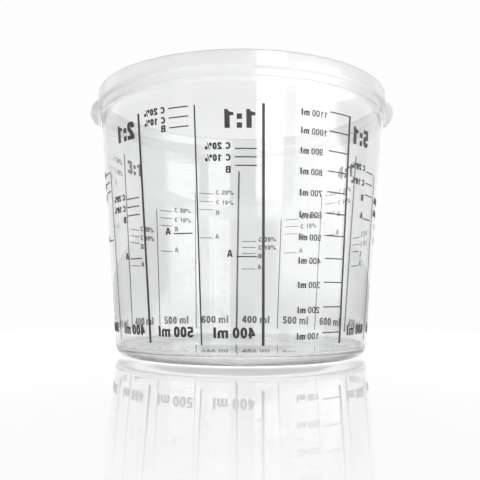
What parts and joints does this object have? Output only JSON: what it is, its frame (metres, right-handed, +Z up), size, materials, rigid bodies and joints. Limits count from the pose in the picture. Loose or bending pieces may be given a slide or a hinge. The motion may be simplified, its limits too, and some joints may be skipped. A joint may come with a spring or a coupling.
{
  "type": "resin mixing cup",
  "caption": "Clear tapered plastic cup for mixing two-part resin, with printed millilitre and mixing-ratio scales, a banded rim and half-round lugs under the lip.",
  "frame": {"origin": "on the cup's axis, in the plane of the ring that it stands on", "axes": "+Z up, out of the mouth; +X towards one lug and -X towards the other, each of them about 6 degrees forward, towards -Y; -Y is the side that faces the camera, with the 1:1 scale"},
  "size_m": [0.1434, 0.1362, 0.1195],
  "materials": {
    "clear_polypropylene": "clear, slightly milky injection-moulded polypropylene, glossy",
    "printed_ink": "dark grey printed ink, satin"
  },
  "bodies": {
    "root": {"cup_body": "clear_polypropylene", "print_volume_scale": "printed_ink", "print_ratio_1_1": "printed_ink", "print_ratio_2_1": "printed_ink", "print_ratio_3_1": "printed_ink", "print_ratio_4_1": "printed_ink", "print_ratio_5_1": "printed_ink"}
  },
  "joints": []
}
